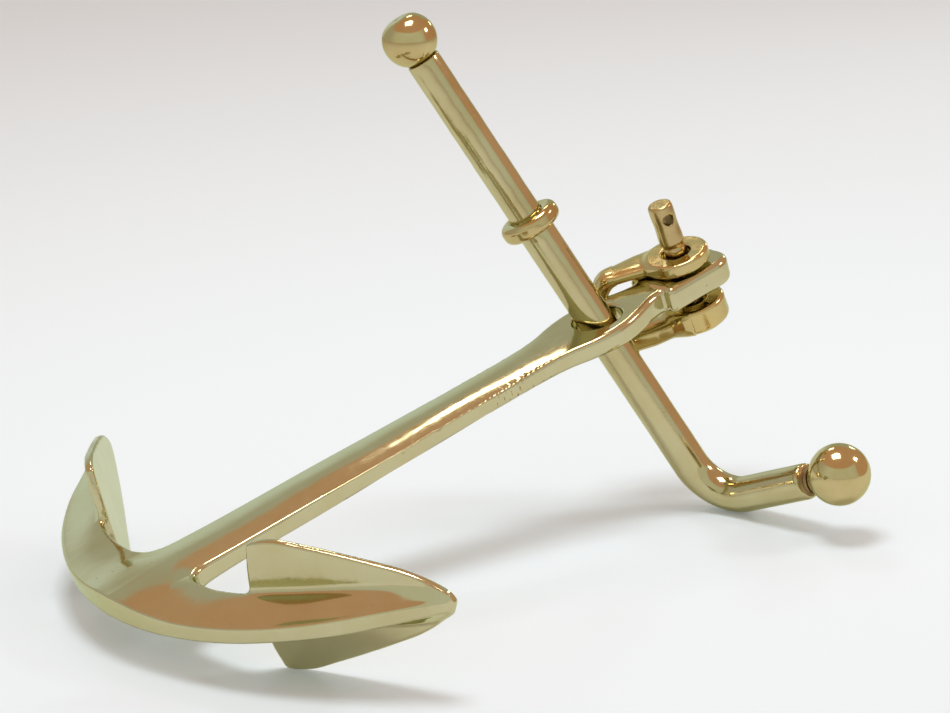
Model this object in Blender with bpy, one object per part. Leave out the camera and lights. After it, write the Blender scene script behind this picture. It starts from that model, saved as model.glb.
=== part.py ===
# Boat anchor, fisherman pattern with a folding stock, in polished bronze.
# It stands as it rests on a table: on the lower corners of both palms and on
# the bend of the stock, with the head of the shank raised.
#
# Anchor frame: X runs along the shank from the crown to the head, Y across
# the arms, Z along the stock eye.  The frame is pitched so the head is up.
import bpy
import bmesh
import math
from mathutils import Matrix, Vector

MM = 0.001

# ---- driving sizes, millimetres -------------------------------------------
PITCH_DEG = 15.22           # shank slope when the anchor rests
FIT_GAP = 0.3               # gap left between two pieces that touch

CROWN_FRONT = 2.5           # outermost point of the crown on the shank axis
ARM_RADIUS = 121.0          # outside radius of the arms
ARM_INNER_X = 24.7          # inner face of the crown, where the shank starts
ARM_RIDGE_H = 4.8           # outer upper edge of the crown above the middle
ARM_FOOT_H = 4.2            # and its outer lower edge below the middle
ARM_INNER_HALF_H = 5.4      # half height of the inner face of the arms

PALM_BASE_X = 33.3          # middle of the palm's wide end, along the shank
PALM_BASE_Y = 52.2          # and across it
PALM_ANGLE_DEG = 30.3       # palm plane against the Y axis
PALM_LENGTH = 66.5          # wide end to point
PALM_HALF_WIDTH = 23.8
PALM_THICK = 3.0
PALM_SWEEP = 6.0            # how far the wide end points back at its middle

SHANK_ROOT_HALF_W = 12.6    # half width near the crown
SHANK_NECK_HALF_W = 10.0    # half width just before the stock eye
SHANK_ROOT_HALF_T = 4.5     # half thickness near the crown
SHANK_NECK_HALF_T = 3.7
EYE_X = 212.8               # stock eye
EYE_WALL = 5.8              # metal round the stock eye
EYE_CLEAR = 5.4             # how much wider the eye is than the stock
NECK_LENGTH = 24.7          # stock eye to the start of the shackle lug
LUG_LENGTH = 31.5
LUG_HALF_W = 12.0
LUG_HALF_T = 4.75
PIN_INSET = 15.3            # lug end to the shackle pin

BAR_LOWER_D = 13.0          # stock bar below the collar
BAR_UPPER_D = 12.0          # and above it
STOCK_LEAN_X = -0.196       # the loose stock leans in its eye
STOCK_LEAN_Y = 0.247
STOCK_TOP = 123.5           # eye centre to top ball centre
STOCK_COLLAR = 45.8         # eye centre to collar centre
STOCK_CORNER = 79.0         # eye centre to the corner of the bend
STOCK_ARM = 61.6            # corner to end ball centre
BEND_RADIUS = 17.0
COLLAR_D = 22.0
COLLAR_H = 6.4
BALL_END_D = 22.0
BALL_TOP_D = 19.2
BALL_BORE_DEPTH = 7.0
BALL_RIM = 0.8              # flat ring round the bore of each ball
THREAD_ROOT_D = 9.2
THREAD_CREST_D = 11.4
THREAD_PITCH = 2.1
THREAD_BARE = 5.6           # length of thread showing below the ball

PIN_D = 8.0
PIN_CLEAR = 2.8             # how much wider the pin's holes are
PIN_SHOULDER = 0.8          # how much wider the pin's head is
PIN_HEAD_L = 16.0
PIN_OUT = 3.9               # how far the pin stands proud of its seat
PIN_LEAN_DEG = 5.0
PIN_CROSS_D = 4.2
PIN_CROSS_TURN = -12.0      # which way the cross hole faces
SHACKLE_EAR_R = 11.6
SHACKLE_TOP_T = 5.0         # upper ear thickness
SHACKLE_LOW_T = 9.4         # lower ear thickness
SHACKLE_LOW_GAP = 4.0       # air between the lug and the lower ear
SHACKLE_REACH = 32.5        # pin axis to the middle of the bow
SHACKLE_TOP_FLARE = 2.3     # the upper arm is wider on its far side, by twice this
SHACKLE_LOW_FLARE = 2.5     # and the lower arm on its near side
SHACKLE_LOW_DROP = 2.0      # the lower arm hangs below its ear's middle
SHACKLE_BOW_R = 4.2         # bow wire radius
SHACKLE_FOLD_DEG = 37.0     # bow direction, from the shank toward +Y

eye_hole_d = BAR_LOWER_D + EYE_CLEAR
eye_half_w = eye_hole_d / 2.0 + EYE_WALL
lug_start_x = EYE_X + NECK_LENGTH
lug_end_x = lug_start_x + LUG_LENGTH
pin_x = lug_end_x - PIN_INSET
pin_hole_d = PIN_D + PIN_CLEAR
pin_head_d = PIN_D + PIN_SHOULDER

for old in list(bpy.data.objects):
    bpy.data.objects.remove(old, do_unlink=True)

anchor_parts = bpy.data.collections.new("boat_anchor")
cutters = bpy.data.collections.new("cutters")
bpy.context.scene.collection.children.link(anchor_parts)
bpy.context.scene.collection.children.link(cutters)


def bronze(name, colour, rough):
    mat = bpy.data.materials.new(name)
    mat.use_nodes = True
    shader = mat.node_tree.nodes["Principled BSDF"]
    shader.inputs["Base Color"].default_value = (*colour, 1.0)
    shader.inputs["Metallic"].default_value = 1.0
    shader.inputs["Roughness"].default_value = rough
    return mat


def add_mesh(name, verts, faces, mat, parent, collection):
    """Make one object from millimetre points and outward faces."""
    mesh = bpy.data.meshes.new(name)
    mesh.from_pydata([tuple(c * MM for c in v) for v in verts], [], faces)
    bm = bmesh.new()
    bm.from_mesh(mesh)
    bmesh.ops.remove_doubles(bm, verts=bm.verts, dist=0.00001)
    bmesh.ops.recalc_face_normals(bm, faces=bm.faces)
    bm.to_mesh(mesh)
    bm.free()
    obj = bpy.data.objects.new(name, mesh)
    if mat is not None:
        mesh.materials.append(mat)
    collection.objects.link(obj)
    obj.parent = parent
    return obj


def skin(rings):
    """Faces that join equal rings of points and close both ends."""
    verts = [p for ring in rings for p in ring]
    count = len(rings[0])
    faces = []
    for i in range(len(rings) - 1):
        for j in range(count):
            k = (j + 1) % count
            a = i * count
            b = a + count
            faces.append((a + j, a + k, b + k, b + j))
    last = (len(rings) - 1) * count
    faces.append(tuple(reversed(range(count))))
    faces.append(tuple(range(last, last + count)))
    return verts, faces


def rounded_box_ring(half_w, half_t_neg, half_t_pos, corner, steps):
    """Closed ring of (w, t) points of a rectangle with round corners.

    half_t_neg is the half height on the -w side, half_t_pos on the +w side.
    """
    r = min(corner, 0.95 * min(half_w, half_t_neg, half_t_pos))
    ring = []
    for sw, st, start in ((1, 1, 0.0), (-1, 1, 90.0), (-1, -1, 180.0), (1, -1, 270.0)):
        half_t = half_t_pos if sw > 0 else half_t_neg
        for s in range(steps + 1):
            a = math.radians(start + 90.0 * s / steps)
            w = sw * (half_w - r) + r * math.cos(a)
            t = st * (half_t - r) + r * math.sin(a)
            ring.append((w, t))
    return ring


def lathe(profile, segments):
    """Rings about Z from (radius, z) points, closed at both ends."""
    rings = []
    for radius, z in profile:
        ring = []
        for s in range(segments):
            a = 2.0 * math.pi * s / segments
            ring.append((radius * math.cos(a), radius * math.sin(a), z))
        rings.append(ring)
    return skin(rings)


def cut(target, name, verts, faces, matrix):
    """Cut target with an exact Boolean and keep the cutter for reference."""
    tool = add_mesh(name, verts, faces, None, anchor, cutters)
    tool.matrix_local = matrix
    tool.hide_render = True
    tool.display_type = "WIRE"
    mod = target.modifiers.new(name, "BOOLEAN")
    mod.operation = "DIFFERENCE"
    mod.solver = "EXACT"
    mod.object = tool
    return tool


def table_value(table, x):
    """Value of a (x, value) table at x, straight between its rows."""
    if x <= table[0][0]:
        return table[0][1]
    for (x0, v0), (x1, v1) in zip(table[:-1], table[1:]):
        if x <= x1:
            s = (x - x0) / (x1 - x0)
            return v0 + (v1 - v0) * s
    return table[-1][1]


# ---- where the resting anchor stands ---------------------------------------
pitch = math.radians(PITCH_DEG)
palm_angle = math.radians(PALM_ANGLE_DEG)
turn = Matrix.Rotation(-pitch, 4, "Y")
anchor = bpy.data.objects.new("anchor_frame", None)
anchor_parts.objects.link(anchor)
anchor.matrix_world = turn

body_bronze = bronze("bronze_body", (0.62, 0.44, 0.20), 0.12)
stock_bronze = bronze("bronze_stock", (0.58, 0.43, 0.21), 0.14)
fitting_bronze = bronze("bronze_fittings", (0.66, 0.46, 0.18), 0.18)

# ---- shank with the stock eye and the shackle lug ---------------------------
root_x = ARM_INNER_X + FIT_GAP
width_table = [
    (root_x, SHANK_ROOT_HALF_W + 6.4),
    (root_x + 1.6, SHANK_ROOT_HALF_W + 4.0),
    (root_x + 4.0, SHANK_ROOT_HALF_W + 2.1),
    (root_x + 8.0, SHANK_ROOT_HALF_W + 0.8),
    (root_x + 15.0, SHANK_ROOT_HALF_W),
    (EYE_X - 34.0, SHANK_NECK_HALF_W),
    (EYE_X - 22.0, SHANK_NECK_HALF_W + 1.0),
    (EYE_X - 15.0, eye_half_w - 2.2),
    (EYE_X - 8.0, eye_half_w - 0.4),
    (EYE_X - 2.0, eye_half_w),
    (EYE_X + 5.0, eye_half_w - 1.0),
    (EYE_X + 12.0, eye_half_w - 3.4),
    (EYE_X + 18.0, eye_half_w - 6.0),
    (EYE_X + 21.0, eye_half_w - 7.0),
    (lug_start_x - 1.5, eye_half_w - 6.8),
    (lug_start_x, LUG_HALF_W - 0.8),
    (lug_start_x + 2.0, LUG_HALF_W),
    (lug_end_x - 12.0, LUG_HALF_W),
    (lug_end_x - 8.6, LUG_HALF_W - 0.5),
    (lug_end_x - 5.5, LUG_HALF_W - 2.0),
    (lug_end_x - 2.8, LUG_HALF_W - 4.4),
    (lug_end_x - 1.0, LUG_HALF_W - 7.4),
    (lug_end_x, LUG_HALF_W - 10.0),
]
thick_table = [
    (root_x, SHANK_ROOT_HALF_T + 0.6),
    (root_x + 15.0, SHANK_ROOT_HALF_T),
    (EYE_X - 34.0, SHANK_NECK_HALF_T),
    (EYE_X, SHANK_NECK_HALF_T + 0.3),
    (lug_start_x - 1.5, LUG_HALF_T - 0.4),
    (lug_start_x + 2.0, LUG_HALF_T),
    (lug_end_x, LUG_HALF_T),
]
rings = []
for x, half_w in width_table:
    half_t = table_value(thick_table, x)
    ring = rounded_box_ring(half_w, half_t, half_t, 1.7, 3)
    rings.append([(x, w, t) for w, t in ring])
shank_verts, shank_faces = skin(rings)
shank = add_mesh("shank", shank_verts, shank_faces, body_bronze, anchor, anchor_parts)

# ---- crown and arms ----------------------------------------------------------
arc_centre_x = CROWN_FRONT + ARM_RADIUS
seat_off = PALM_THICK / 2.0 + FIT_GAP


def seat_point(u, behind=0.0):
    """Point of the arm's palm seat at distance u from the palm's wide end."""
    off = seat_off + behind
    x = PALM_BASE_X + u * math.sin(palm_angle) - off * math.cos(palm_angle)
    y = PALM_BASE_Y + u * math.cos(palm_angle) + off * math.sin(palm_angle)
    return x, y


def arc_point(y):
    """Point of the outside curve of the arms."""
    return arc_centre_x - math.sqrt(ARM_RADIUS ** 2 - y ** 2), y


# Each row: inner point, outer point, then how far the inner height, the upper
# outer edge and the lower outer edge have come in from their sizes at the crown.
stations = [
    ((ARM_INNER_X, 0.0), arc_point(0.0), 0.0, 0.0, 0.0),
    ((ARM_INNER_X, 10.0), arc_point(10.0), 0.0, 0.0, 0.0),
    ((ARM_INNER_X, 19.5), arc_point(21.0), 0.0, 0.0, 0.0),
    ((ARM_INNER_X + 0.3, 27.0), arc_point(31.0), 0.1, 0.4, 0.0),
    ((ARM_INNER_X + 1.0, 35.0), arc_point(40.0), 0.2, 1.2, 0.0),
    ((ARM_INNER_X + 2.0, 41.5), arc_point(48.5), 0.3, 2.3, -0.1),
    (seat_point(-PALM_SWEEP - 1.0), arc_point(56.0), 0.4, 2.6, 0.0),
    (seat_point(-1.0), arc_point(61.5), 0.4, 2.6, 0.1),
    (seat_point(6.0), arc_point(67.0), 0.3, 2.5, 0.2),
    (seat_point(16.0), arc_point(75.0), 0.0, 2.4, 0.2),
    (seat_point(27.0), arc_point(82.5), -0.6, 2.3, 0.2),
    (seat_point(38.0), seat_point(39.9, 8.4), -0.8, 2.3, 0.5),
    (seat_point(49.0), seat_point(49.6, 5.6), -0.6, 2.4, 0.9),
    (seat_point(58.5), seat_point(59.0, 2.9), 0.9, 2.6, 1.5),
    (seat_point(63.5), seat_point(64.4, 1.2), 3.0, 2.9, 2.3),
]


def arm_ring(inner, outer, slim, drop, rise, side):
    """Section across the arm: its top slopes down from the palm to the outside."""
    mid = ((inner[0] + outer[0]) / 2.0, (inner[1] + outer[1]) / 2.0)
    half = math.hypot(inner[0] - outer[0], inner[1] - outer[1]) / 2.0
    dx = (inner[0] - outer[0]) / (2.0 * half)
    dy = (inner[1] - outer[1]) / (2.0 * half)
    top = ARM_RIDGE_H - drop
    foot = ARM_FOOT_H - rise
    ring = rounded_box_ring(half, (top + foot) / 2.0, ARM_INNER_HALF_H - slim, 1.3, 3)
    placed = []
    for w, t in ring:
        outside = (half - w) / (2.0 * half)
        lift = outside * (top - foot) / 2.0
        placed.append((mid[0] + dx * w, side * (mid[1] + dy * w), t + lift))
    return placed


rings = []
for row in reversed(stations[1:]):
    rings.append(arm_ring(*row, -1.0))
for row in stations:
    rings.append(arm_ring(*row, 1.0))
arm_verts, arm_faces = skin(rings)
add_mesh("crown_arms", arm_verts, arm_faces, body_bronze, anchor, anchor_parts)

# ---- palms -------------------------------------------------------------------
palm_half = [
    (-PALM_SWEEP, 0.0),
    (-PALM_SWEEP + 0.8, 5.2),
    (-1.6, PALM_HALF_WIDTH - 1.4),
    (0.4, PALM_HALF_WIDTH - 0.4),
    (3.0, PALM_HALF_WIDTH),
    (8.5, PALM_HALF_WIDTH - 0.1),
    (18.0, PALM_HALF_WIDTH - 2.4),
    (30.0, PALM_HALF_WIDTH - 5.7),
    (42.0, PALM_HALF_WIDTH - 9.4),
    (52.0, PALM_HALF_WIDTH - 12.9),
    (58.0, PALM_HALF_WIDTH - 16.0),
    (62.5, PALM_HALF_WIDTH - 19.4),
    (65.3, PALM_HALF_WIDTH - 22.0),
    (PALM_LENGTH, 0.0),
]


def make_palm(name, side):
    """Flat plate with a slightly swept wide end and a round point."""
    outline = list(palm_half) + [(u, -z) for u, z in reversed(palm_half[1:-1])]
    half = PALM_THICK / 2.0
    edge = 0.6
    rings = []
    cx = 28.0
    for t, inset in ((-half, edge), (-half + edge, 0.0), (half - edge, 0.0), (half, edge)):
        ring = []
        for u, z in outline:
            d = math.hypot(u - cx, z)
            k = (d - inset) / d
            ring.append((cx + (u - cx) * k, z * k, t))
        rings.append(ring)
    verts, faces = skin(rings)
    placed = []
    for u, z, t in verts:
        x = PALM_BASE_X + u * math.sin(palm_angle) + t * math.cos(palm_angle)
        y = PALM_BASE_Y + u * math.cos(palm_angle) - t * math.sin(palm_angle)
        placed.append((x, side * y, z))
    return add_mesh(name, placed, faces, body_bronze, anchor, anchor_parts)


make_palm("palm_left", 1.0)
make_palm("palm_right", -1.0)

# ---- folding stock -------------------------------------------------------------
lean_z = math.sqrt(1.0 - STOCK_LEAN_X ** 2 - STOCK_LEAN_Y ** 2)
stock_axis = Vector((STOCK_LEAN_X, STOCK_LEAN_Y, lean_z))
STOCK_ARM_AIM = Vector((0.241, -0.926, 0.291))
arm_dir = (STOCK_ARM_AIM - STOCK_ARM_AIM.dot(stock_axis) * stock_axis).normalized()
side_dir = stock_axis.cross(arm_dir)
stock = bpy.data.objects.new("stock_axis", None)
anchor_parts.objects.link(stock)
stock.parent = anchor
basis = Matrix((arm_dir, side_dir, stock_axis)).transposed().to_4x4()
stock.matrix_local = Matrix.Translation(Vector((EYE_X + 0.5, 0.6, 0.0)) * MM) @ basis

bar_r = BAR_LOWER_D / 2.0
bar_segments = 28
collar_low = STOCK_COLLAR - COLLAR_H / 2.0
spigot_r = BALL_TOP_D * 0.23
thread_fit_r = THREAD_CREST_D / 2.0 + FIT_GAP
top_face = math.sqrt((BALL_TOP_D / 2.0) ** 2 - (spigot_r + FIT_GAP + BALL_RIM) ** 2)
end_face = math.sqrt((BALL_END_D / 2.0) ** 2 - (thread_fit_r + BALL_RIM) ** 2)
ball_top_low = STOCK_TOP - top_face
thread_low = STOCK_ARM - end_face - THREAD_BARE
thread_top = STOCK_ARM - end_face + BALL_BORE_DEPTH


def bar_ring(centre, normal_angle, radius):
    """Ring across the bar in the bend plane; 0 points down, 90 along +X."""
    a = math.radians(normal_angle)
    tangent = Vector((math.sin(a), 0.0, -math.cos(a)))
    across = Vector((0.0, 1.0, 0.0))
    other = tangent.cross(across)
    ring = []
    for s in range(bar_segments):
        b = 2.0 * math.pi * s / bar_segments
        p = centre + across * (radius * math.cos(b)) + other * (radius * math.sin(b))
        ring.append(tuple(p))
    return ring


rings = []
upper_r = BAR_UPPER_D / 2.0
spigot_top = ball_top_low + BALL_BORE_DEPTH
for z, r in (
    (spigot_top, spigot_r - 0.5),
    (spigot_top - 0.5, spigot_r),
    (ball_top_low - FIT_GAP, spigot_r),
    (ball_top_low - FIT_GAP, upper_r - 0.6),
    (ball_top_low - FIT_GAP - 0.6, upper_r),
    (collar_low - FIT_GAP, upper_r),
    (collar_low - FIT_GAP, bar_r - 0.4),
    (collar_low - FIT_GAP - 0.4, bar_r),
    (-STOCK_CORNER + BEND_RADIUS, bar_r),
):
    rings.append(bar_ring(Vector((0.0, 0.0, z)), 0.0, r))
bend_steps = 12
for s in range(1, bend_steps + 1):
    angle = 90.0 * s / bend_steps
    a = math.radians(angle)
    centre = Vector((
        BEND_RADIUS - BEND_RADIUS * math.cos(a),
        0.0,
        -STOCK_CORNER + BEND_RADIUS - BEND_RADIUS * math.sin(a),
    ))
    rings.append(bar_ring(centre, angle, bar_r))
for x, r in (
    (thread_low - 1.2, bar_r),
    (thread_low - 0.4, bar_r - 0.6),
    (thread_low - 0.4, THREAD_ROOT_D / 2.0),
):
    rings.append(bar_ring(Vector((x, 0.0, -STOCK_CORNER)), 90.0, r))
# Turned grooves stand for the thread; the pitch is the real one.
turns = int((thread_top - 0.8 - thread_low) / THREAD_PITCH)
for n in range(turns):
    base = thread_low + n * THREAD_PITCH
    for part, d in ((0.12, THREAD_ROOT_D), (0.42, THREAD_CREST_D), (0.62, THREAD_CREST_D), (0.92, THREAD_ROOT_D)):
        rings.append(bar_ring(Vector((base + part * THREAD_PITCH, 0.0, -STOCK_CORNER)), 90.0, d / 2.0))
end_x = thread_low + turns * THREAD_PITCH + 0.5
rings.append(bar_ring(Vector((end_x, 0.0, -STOCK_CORNER)), 90.0, THREAD_ROOT_D / 2.0))
bar_verts, bar_faces = skin(rings)
add_mesh("stock_bar", bar_verts, bar_faces, stock_bronze, stock, anchor_parts)

collar_profile = [
    (upper_r + FIT_GAP, -COLLAR_H / 2.0),
    (COLLAR_D / 2.0 - 2.4, -COLLAR_H / 2.0),
    (COLLAR_D / 2.0 - 0.8, -COLLAR_H / 2.0 + 0.7),
    (COLLAR_D / 2.0, -COLLAR_H / 2.0 + 2.2),
    (COLLAR_D / 2.0, COLLAR_H / 2.0 - 2.2),
    (COLLAR_D / 2.0 - 0.8, COLLAR_H / 2.0 - 0.7),
    (COLLAR_D / 2.0 - 2.4, COLLAR_H / 2.0),
    (upper_r + FIT_GAP, COLLAR_H / 2.0),
]


def ring_body(profile, segments):
    """Faces of a ring turned from a closed (radius, z) profile."""
    verts = []
    count = len(profile)
    for s in range(segments):
        a = 2.0 * math.pi * s / segments
        for radius, z in profile:
            verts.append((radius * math.cos(a), radius * math.sin(a), z))
    faces = []
    for s in range(segments):
        n = (s + 1) % segments
        for j in range(count):
            k = (j + 1) % count
            faces.append((s * count + j, n * count + j, n * count + k, s * count + k))
    return verts, faces


collar_verts, collar_faces = ring_body(collar_profile, 36)
collar = add_mesh("stock_collar", collar_verts, collar_faces, stock_bronze, stock, anchor_parts)
collar.location = Vector((0.0, 0.0, STOCK_COLLAR)) * MM


def ball_profile(ball_d, bore_r, bore_depth, face, flat_high):
    """Half outline of a ball with a blind bore from its flat face."""
    r = ball_d / 2.0
    low = -face
    high = r - flat_high
    pts = [(0.5, low + bore_depth), (bore_r, low + bore_depth), (bore_r, low)]
    start = math.asin(max(-1.0, low / r))
    stop = math.asin(min(1.0, high / r))
    steps = 16
    for s in range(steps + 1):
        a = start + (stop - start) * s / steps
        pts.append((r * math.cos(a), r * math.sin(a)))
    pts.append((0.5, high + 0.05))
    return pts


def make_ball(name, ball_d, bore_r, face, flat_high):
    bore = BALL_BORE_DEPTH + FIT_GAP * 2.0
    profile = ball_profile(ball_d, bore_r, bore, face, flat_high)
    verts, faces = lathe(profile, 32)
    return add_mesh(name, verts, faces, stock_bronze, stock, anchor_parts)


ball_top = make_ball("stock_ball_top", BALL_TOP_D, spigot_r + FIT_GAP, top_face, 1.2)
ball_top.location = Vector((0.0, 0.0, STOCK_TOP)) * MM
ball_end = make_ball("stock_ball_end", BALL_END_D, thread_fit_r, end_face, 0.4)
ball_end.location = Vector((STOCK_ARM, 0.0, -STOCK_CORNER)) * MM
ball_end.rotation_euler = (0.0, math.radians(90.0), 0.0)

# ---- shackle and its pin ----------------------------------------------------------
# The pin leans in its loose holes, and the shackle leans with it.
lean_rise = SHACKLE_EAR_R * math.tan(math.radians(PIN_LEAN_DEG))
ear_top_low = LUG_HALF_T + FIT_GAP + lean_rise
ear_top_high = ear_top_low + SHACKLE_TOP_T
ear_low_high = -LUG_HALF_T - SHACKLE_LOW_GAP
ear_low_low = ear_low_high - SHACKLE_LOW_T
pin_mid = (ear_top_high + ear_low_low) / 2.0
lean = Matrix.Rotation(math.radians(-PIN_LEAN_DEG), 4, "Y")
to_mid = Matrix.Translation(Vector((pin_x, 0.0, pin_mid)) * MM)
back = Matrix.Translation(Vector((0.0, 0.0, -pin_mid)) * MM)
pin_lean_place = to_mid @ lean @ back
swing = bpy.data.objects.new("shackle_axis", None)
anchor_parts.objects.link(swing)
swing.parent = anchor
fold = math.radians(180.0 - SHACKLE_FOLD_DEG)
swing_place = pin_lean_place @ Matrix.Rotation(fold, 4, "Z")
swing.matrix_local = swing_place


def ear_rings(z0, z1):
    """Round ear about the pin axis."""
    edge = 1.0
    out = []
    for z, r in ((z0, -edge), (z0 + edge, 0.0), (z1 - edge, 0.0), (z1, -edge)):
        ring = []
        for s in range(36):
            a = 2.0 * math.pi * s / 36
            rr = SHACKLE_EAR_R + r
            ring.append((rr * math.cos(a), rr * math.sin(a), z))
        out.append(ring)
    return out


top_mid = (ear_top_low + ear_top_high) / 2.0
low_mid = (ear_low_low + ear_low_high) / 2.0
low_arm = low_mid - SHACKLE_LOW_DROP
bow_r = (top_mid - low_arm) / 2.0
bow_mid = (top_mid + low_arm) / 2.0
straight_to = SHACKLE_REACH - bow_r * 0.72


def bow_section(centre, angle, half_t, half_w):
    """Oval section of the bow; the angle turns from the upper arm round."""
    a = math.radians(angle)
    outward = Vector((math.sin(a), 0.0, math.cos(a)))
    across = Vector((0.0, 1.0, 0.0))
    ring = []
    for s in range(20):
        b = 2.0 * math.pi * s / 20
        c = math.copysign(abs(math.cos(b)) ** 0.8, math.cos(b))
        d = math.copysign(abs(math.sin(b)) ** 0.8, math.sin(b))
        ring.append(tuple(centre + across * (half_w * c) + outward * (half_t * d)))
    return ring


rings = []
inside_ear = 4.0
ear_side = SHACKLE_EAR_R - 1.0
top_half = SHACKLE_TOP_T / 2.0 - 0.15
low_half = SHACKLE_LOW_T / 2.0 - 0.4
bow_half = SHACKLE_BOW_R * 0.86
wide_ear = 5.8
for x, share in ((inside_ear, 1.0), (ear_side, 1.0), (straight_to, 0.6)):
    flare = SHACKLE_TOP_FLARE * share
    half_w = SHACKLE_BOW_R + (wide_ear - SHACKLE_BOW_R) * (share - 0.5) * 2.0
    rings.append(bow_section(Vector((x, -flare, top_mid)), 0.0, top_half, half_w + flare))
steps = 14
for s in range(1, steps):
    angle = 180.0 * s / steps
    a = math.radians(angle)
    ease = math.sin(a)
    flare = SHACKLE_LOW_FLARE * (1.0 - ease) ** 0.6
    if angle < 90.0:
        flare = -0.6 * SHACKLE_TOP_FLARE * (1.0 - ease)
    centre = Vector((
        straight_to + (SHACKLE_REACH - straight_to) * math.sin(a),
        flare,
        bow_mid + bow_r * math.cos(a),
    ))
    arm_half = top_half if angle < 90.0 else low_half
    half_t = arm_half * (1.0 - ease) + bow_half * ease
    rings.append(bow_section(centre, angle, half_t, SHACKLE_BOW_R + abs(flare)))
flare = SHACKLE_LOW_FLARE
for x, z, half_w in (
    (straight_to, low_arm, SHACKLE_BOW_R),
    (ear_side, (low_mid + low_arm) / 2.0, 5.4),
    (inside_ear, low_mid, wide_ear),
):
    rings.append(bow_section(Vector((x, flare, z)), 180.0, low_half, half_w + flare))
bow_verts, bow_faces = skin(rings)
shackle = add_mesh("shackle", bow_verts, bow_faces, fitting_bronze, swing, anchor_parts)
for name, z0, z1 in (
    ("ear_top_tool", ear_top_low, ear_top_high),
    ("ear_low_tool", ear_low_low, ear_low_high),
):
    verts, faces = skin(ear_rings(z0, z1))
    ear = add_mesh(name, verts, faces, None, anchor, cutters)
    ear.matrix_local = swing_place
    ear.hide_render = True
    ear.display_type = "WIRE"
    mod = shackle.modifiers.new(name, "BOOLEAN")
    mod.operation = "UNION"
    mod.solver = "EXACT"
    mod.object = ear

pin_head_low = ear_top_high + PIN_OUT
pin_low = ear_low_low + 0.6
pin_profile = [
    (PIN_D / 2.0 - 0.8, pin_low),
    (PIN_D / 2.0, pin_low + 0.8),
    (PIN_D / 2.0, pin_head_low),
    (pin_head_d / 2.0, pin_head_low + 0.3),
    (pin_head_d / 2.0, pin_head_low + PIN_HEAD_L - 1.6),
    (pin_head_d / 2.0 - 0.5, pin_head_low + PIN_HEAD_L - 0.6),
    (pin_head_d / 2.0 - 1.6, pin_head_low + PIN_HEAD_L),
]
pin_verts, pin_faces = lathe(pin_profile, 32)
pin = add_mesh("shackle_pin", pin_verts, pin_faces, fitting_bronze, anchor, anchor_parts)
pin.matrix_local = pin_lean_place

# ---- holes ----------------------------------------------------------------------
hole_verts, hole_faces = lathe([(eye_hole_d / 2.0, -20.0), (eye_hole_d / 2.0, 20.0)], 40)
cut(shank, "eye_tool", hole_verts, hole_faces, Matrix.Translation(Vector((EYE_X, 0.0, 0.0)) * MM))
hole_verts, hole_faces = lathe([(pin_hole_d / 2.0, -20.0), (pin_hole_d / 2.0, 20.0)], 32)
pin_place = Matrix.Translation(Vector((pin_x, 0.0, 0.0)) * MM)
cut(shank, "lug_hole_tool", hole_verts, hole_faces, pin_place)
hole_verts, hole_faces = lathe([(pin_hole_d / 2.0, -22.0), (pin_hole_d / 2.0, 16.0)], 32)
cut(shackle, "ear_hole_tool", hole_verts, hole_faces, pin_lean_place)
hole_verts, hole_faces = lathe([(PIN_CROSS_D / 2.0, -10.0), (PIN_CROSS_D / 2.0, 10.0)], 20)
cross_z = pin_head_low + PIN_HEAD_L - 5.4
cross = Matrix.Translation(Vector((0.0, 0.0, cross_z)) * MM)
cross = cross @ Matrix.Rotation(math.radians(PIN_CROSS_TURN), 4, "Z")
cross = cross @ Matrix.Rotation(math.radians(90.0), 4, "X")
cut(pin, "cross_hole_tool", hole_verts, hole_faces, pin_lean_place @ cross)

# ---- put the origin under the middle of the resting anchor -------------------------
bpy.context.view_layer.update()
graph = bpy.context.evaluated_depsgraph_get()
low = Vector((1.0, 1.0, 1.0))
high = Vector((-1.0, -1.0, -1.0))
for obj in anchor_parts.objects:
    if obj.type != "MESH":
        continue
    shape = obj.evaluated_get(graph)
    for vertex in shape.data.vertices:
        point = obj.matrix_world @ vertex.co
        low = Vector(min(a, b) for a, b in zip(low, point))
        high = Vector(max(a, b) for a, b in zip(high, point))
middle = Vector(((low.x + high.x) / 2.0, (low.y + high.y) / 2.0, low.z))
anchor.matrix_world = Matrix.Translation(-middle) @ turn
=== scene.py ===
import math

import bmesh
import bpy
import numpy as np
from mathutils import Matrix, Vector


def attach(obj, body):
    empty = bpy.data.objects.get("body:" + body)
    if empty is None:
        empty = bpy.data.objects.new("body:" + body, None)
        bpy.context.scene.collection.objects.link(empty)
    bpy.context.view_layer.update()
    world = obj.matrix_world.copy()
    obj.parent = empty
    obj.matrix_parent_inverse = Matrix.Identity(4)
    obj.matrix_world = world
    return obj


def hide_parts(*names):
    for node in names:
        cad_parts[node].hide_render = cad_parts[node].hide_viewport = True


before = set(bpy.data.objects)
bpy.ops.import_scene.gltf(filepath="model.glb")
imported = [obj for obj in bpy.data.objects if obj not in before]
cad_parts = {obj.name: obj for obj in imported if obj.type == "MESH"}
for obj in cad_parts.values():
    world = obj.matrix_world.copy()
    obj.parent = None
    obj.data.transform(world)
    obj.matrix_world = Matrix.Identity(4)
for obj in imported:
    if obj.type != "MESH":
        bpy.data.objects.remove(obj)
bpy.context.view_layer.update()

# ---- The anchor casting -----------------------------------------------------
# Shank, crown, arms and both palms are one body of cast bronze, brazed together,
# filed smooth at the joints and buffed bright all over.
MM = 0.001
ANCHOR_PITCH = math.radians(15.22)
CROWN_AT = np.array([-131.398, 0.0, 14.034])
ACROSS = np.array([
    [math.cos(ANCHOR_PITCH), 0.0, -math.sin(ANCHOR_PITCH)],
    [0.0, 1.0, 0.0],
    [math.sin(ANCHOR_PITCH), 0.0, math.cos(ANCHOR_PITCH)],
])

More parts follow.
